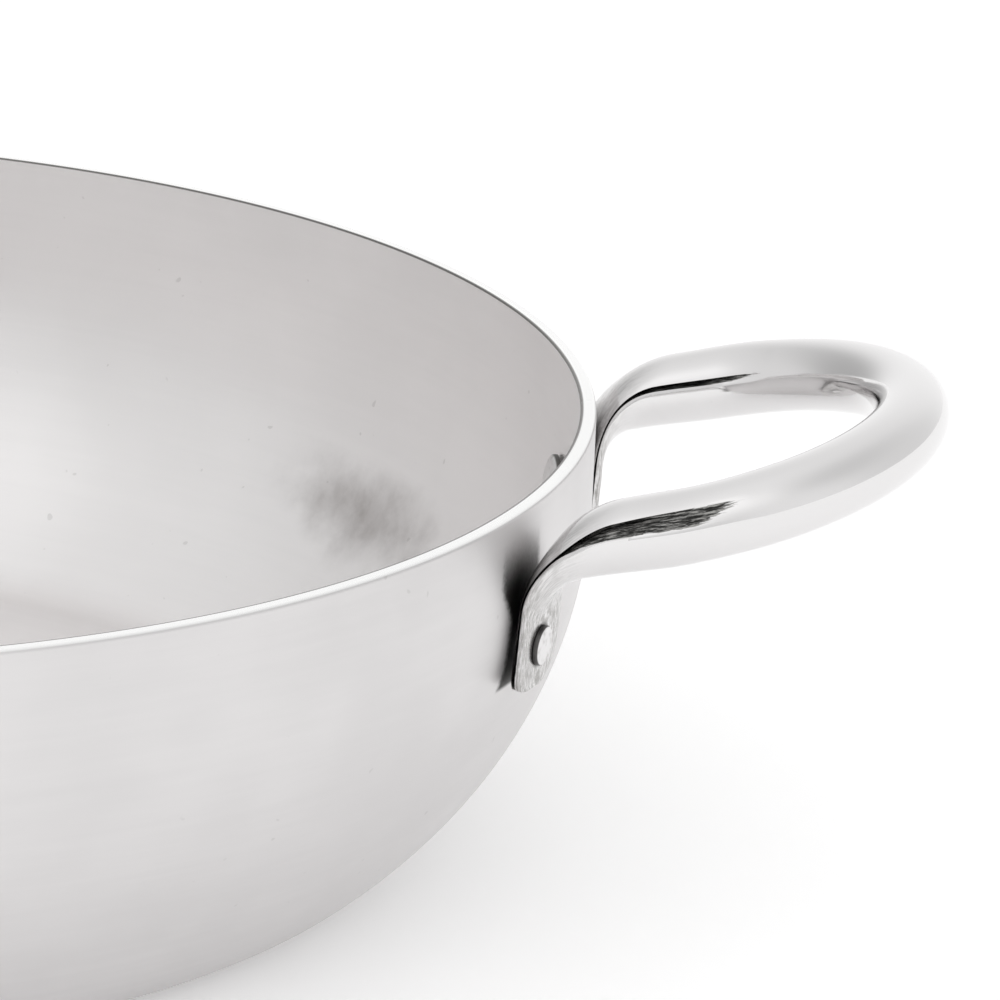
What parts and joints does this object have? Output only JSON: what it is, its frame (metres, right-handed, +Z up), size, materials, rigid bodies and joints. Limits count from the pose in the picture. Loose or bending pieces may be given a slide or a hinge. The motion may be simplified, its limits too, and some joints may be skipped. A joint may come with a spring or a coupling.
{
  "type": "kadai",
  "caption": "Wide round-sided kadai of plain spun aluminium with a flat base and riveted loop handles of bent steel tube.",
  "frame": {"origin": "middle of the flat base's underside, which stands on the hob", "axes": "+X out through the right handle, +Y away from the side with the front rivets, +Z up out of the bowl"},
  "size_m": [0.4124, 0.3, 0.085],
  "materials": {
    "spun_aluminium": "satin, with fine circular spin marks",
    "handle_steel": "smooth semi-polished stainless tube",
    "rivet_aluminium": "plain flattened heads"
  },
  "bodies": {
    "root": {"bowl": "spun_aluminium", "handle_right": "handle_steel", "handle_left": "handle_steel", "rivet_right_front": "rivet_aluminium", "rivet_right_back": "rivet_aluminium", "rivet_left_front": "rivet_aluminium", "rivet_left_back": "rivet_aluminium"}
  },
  "joints": []
}
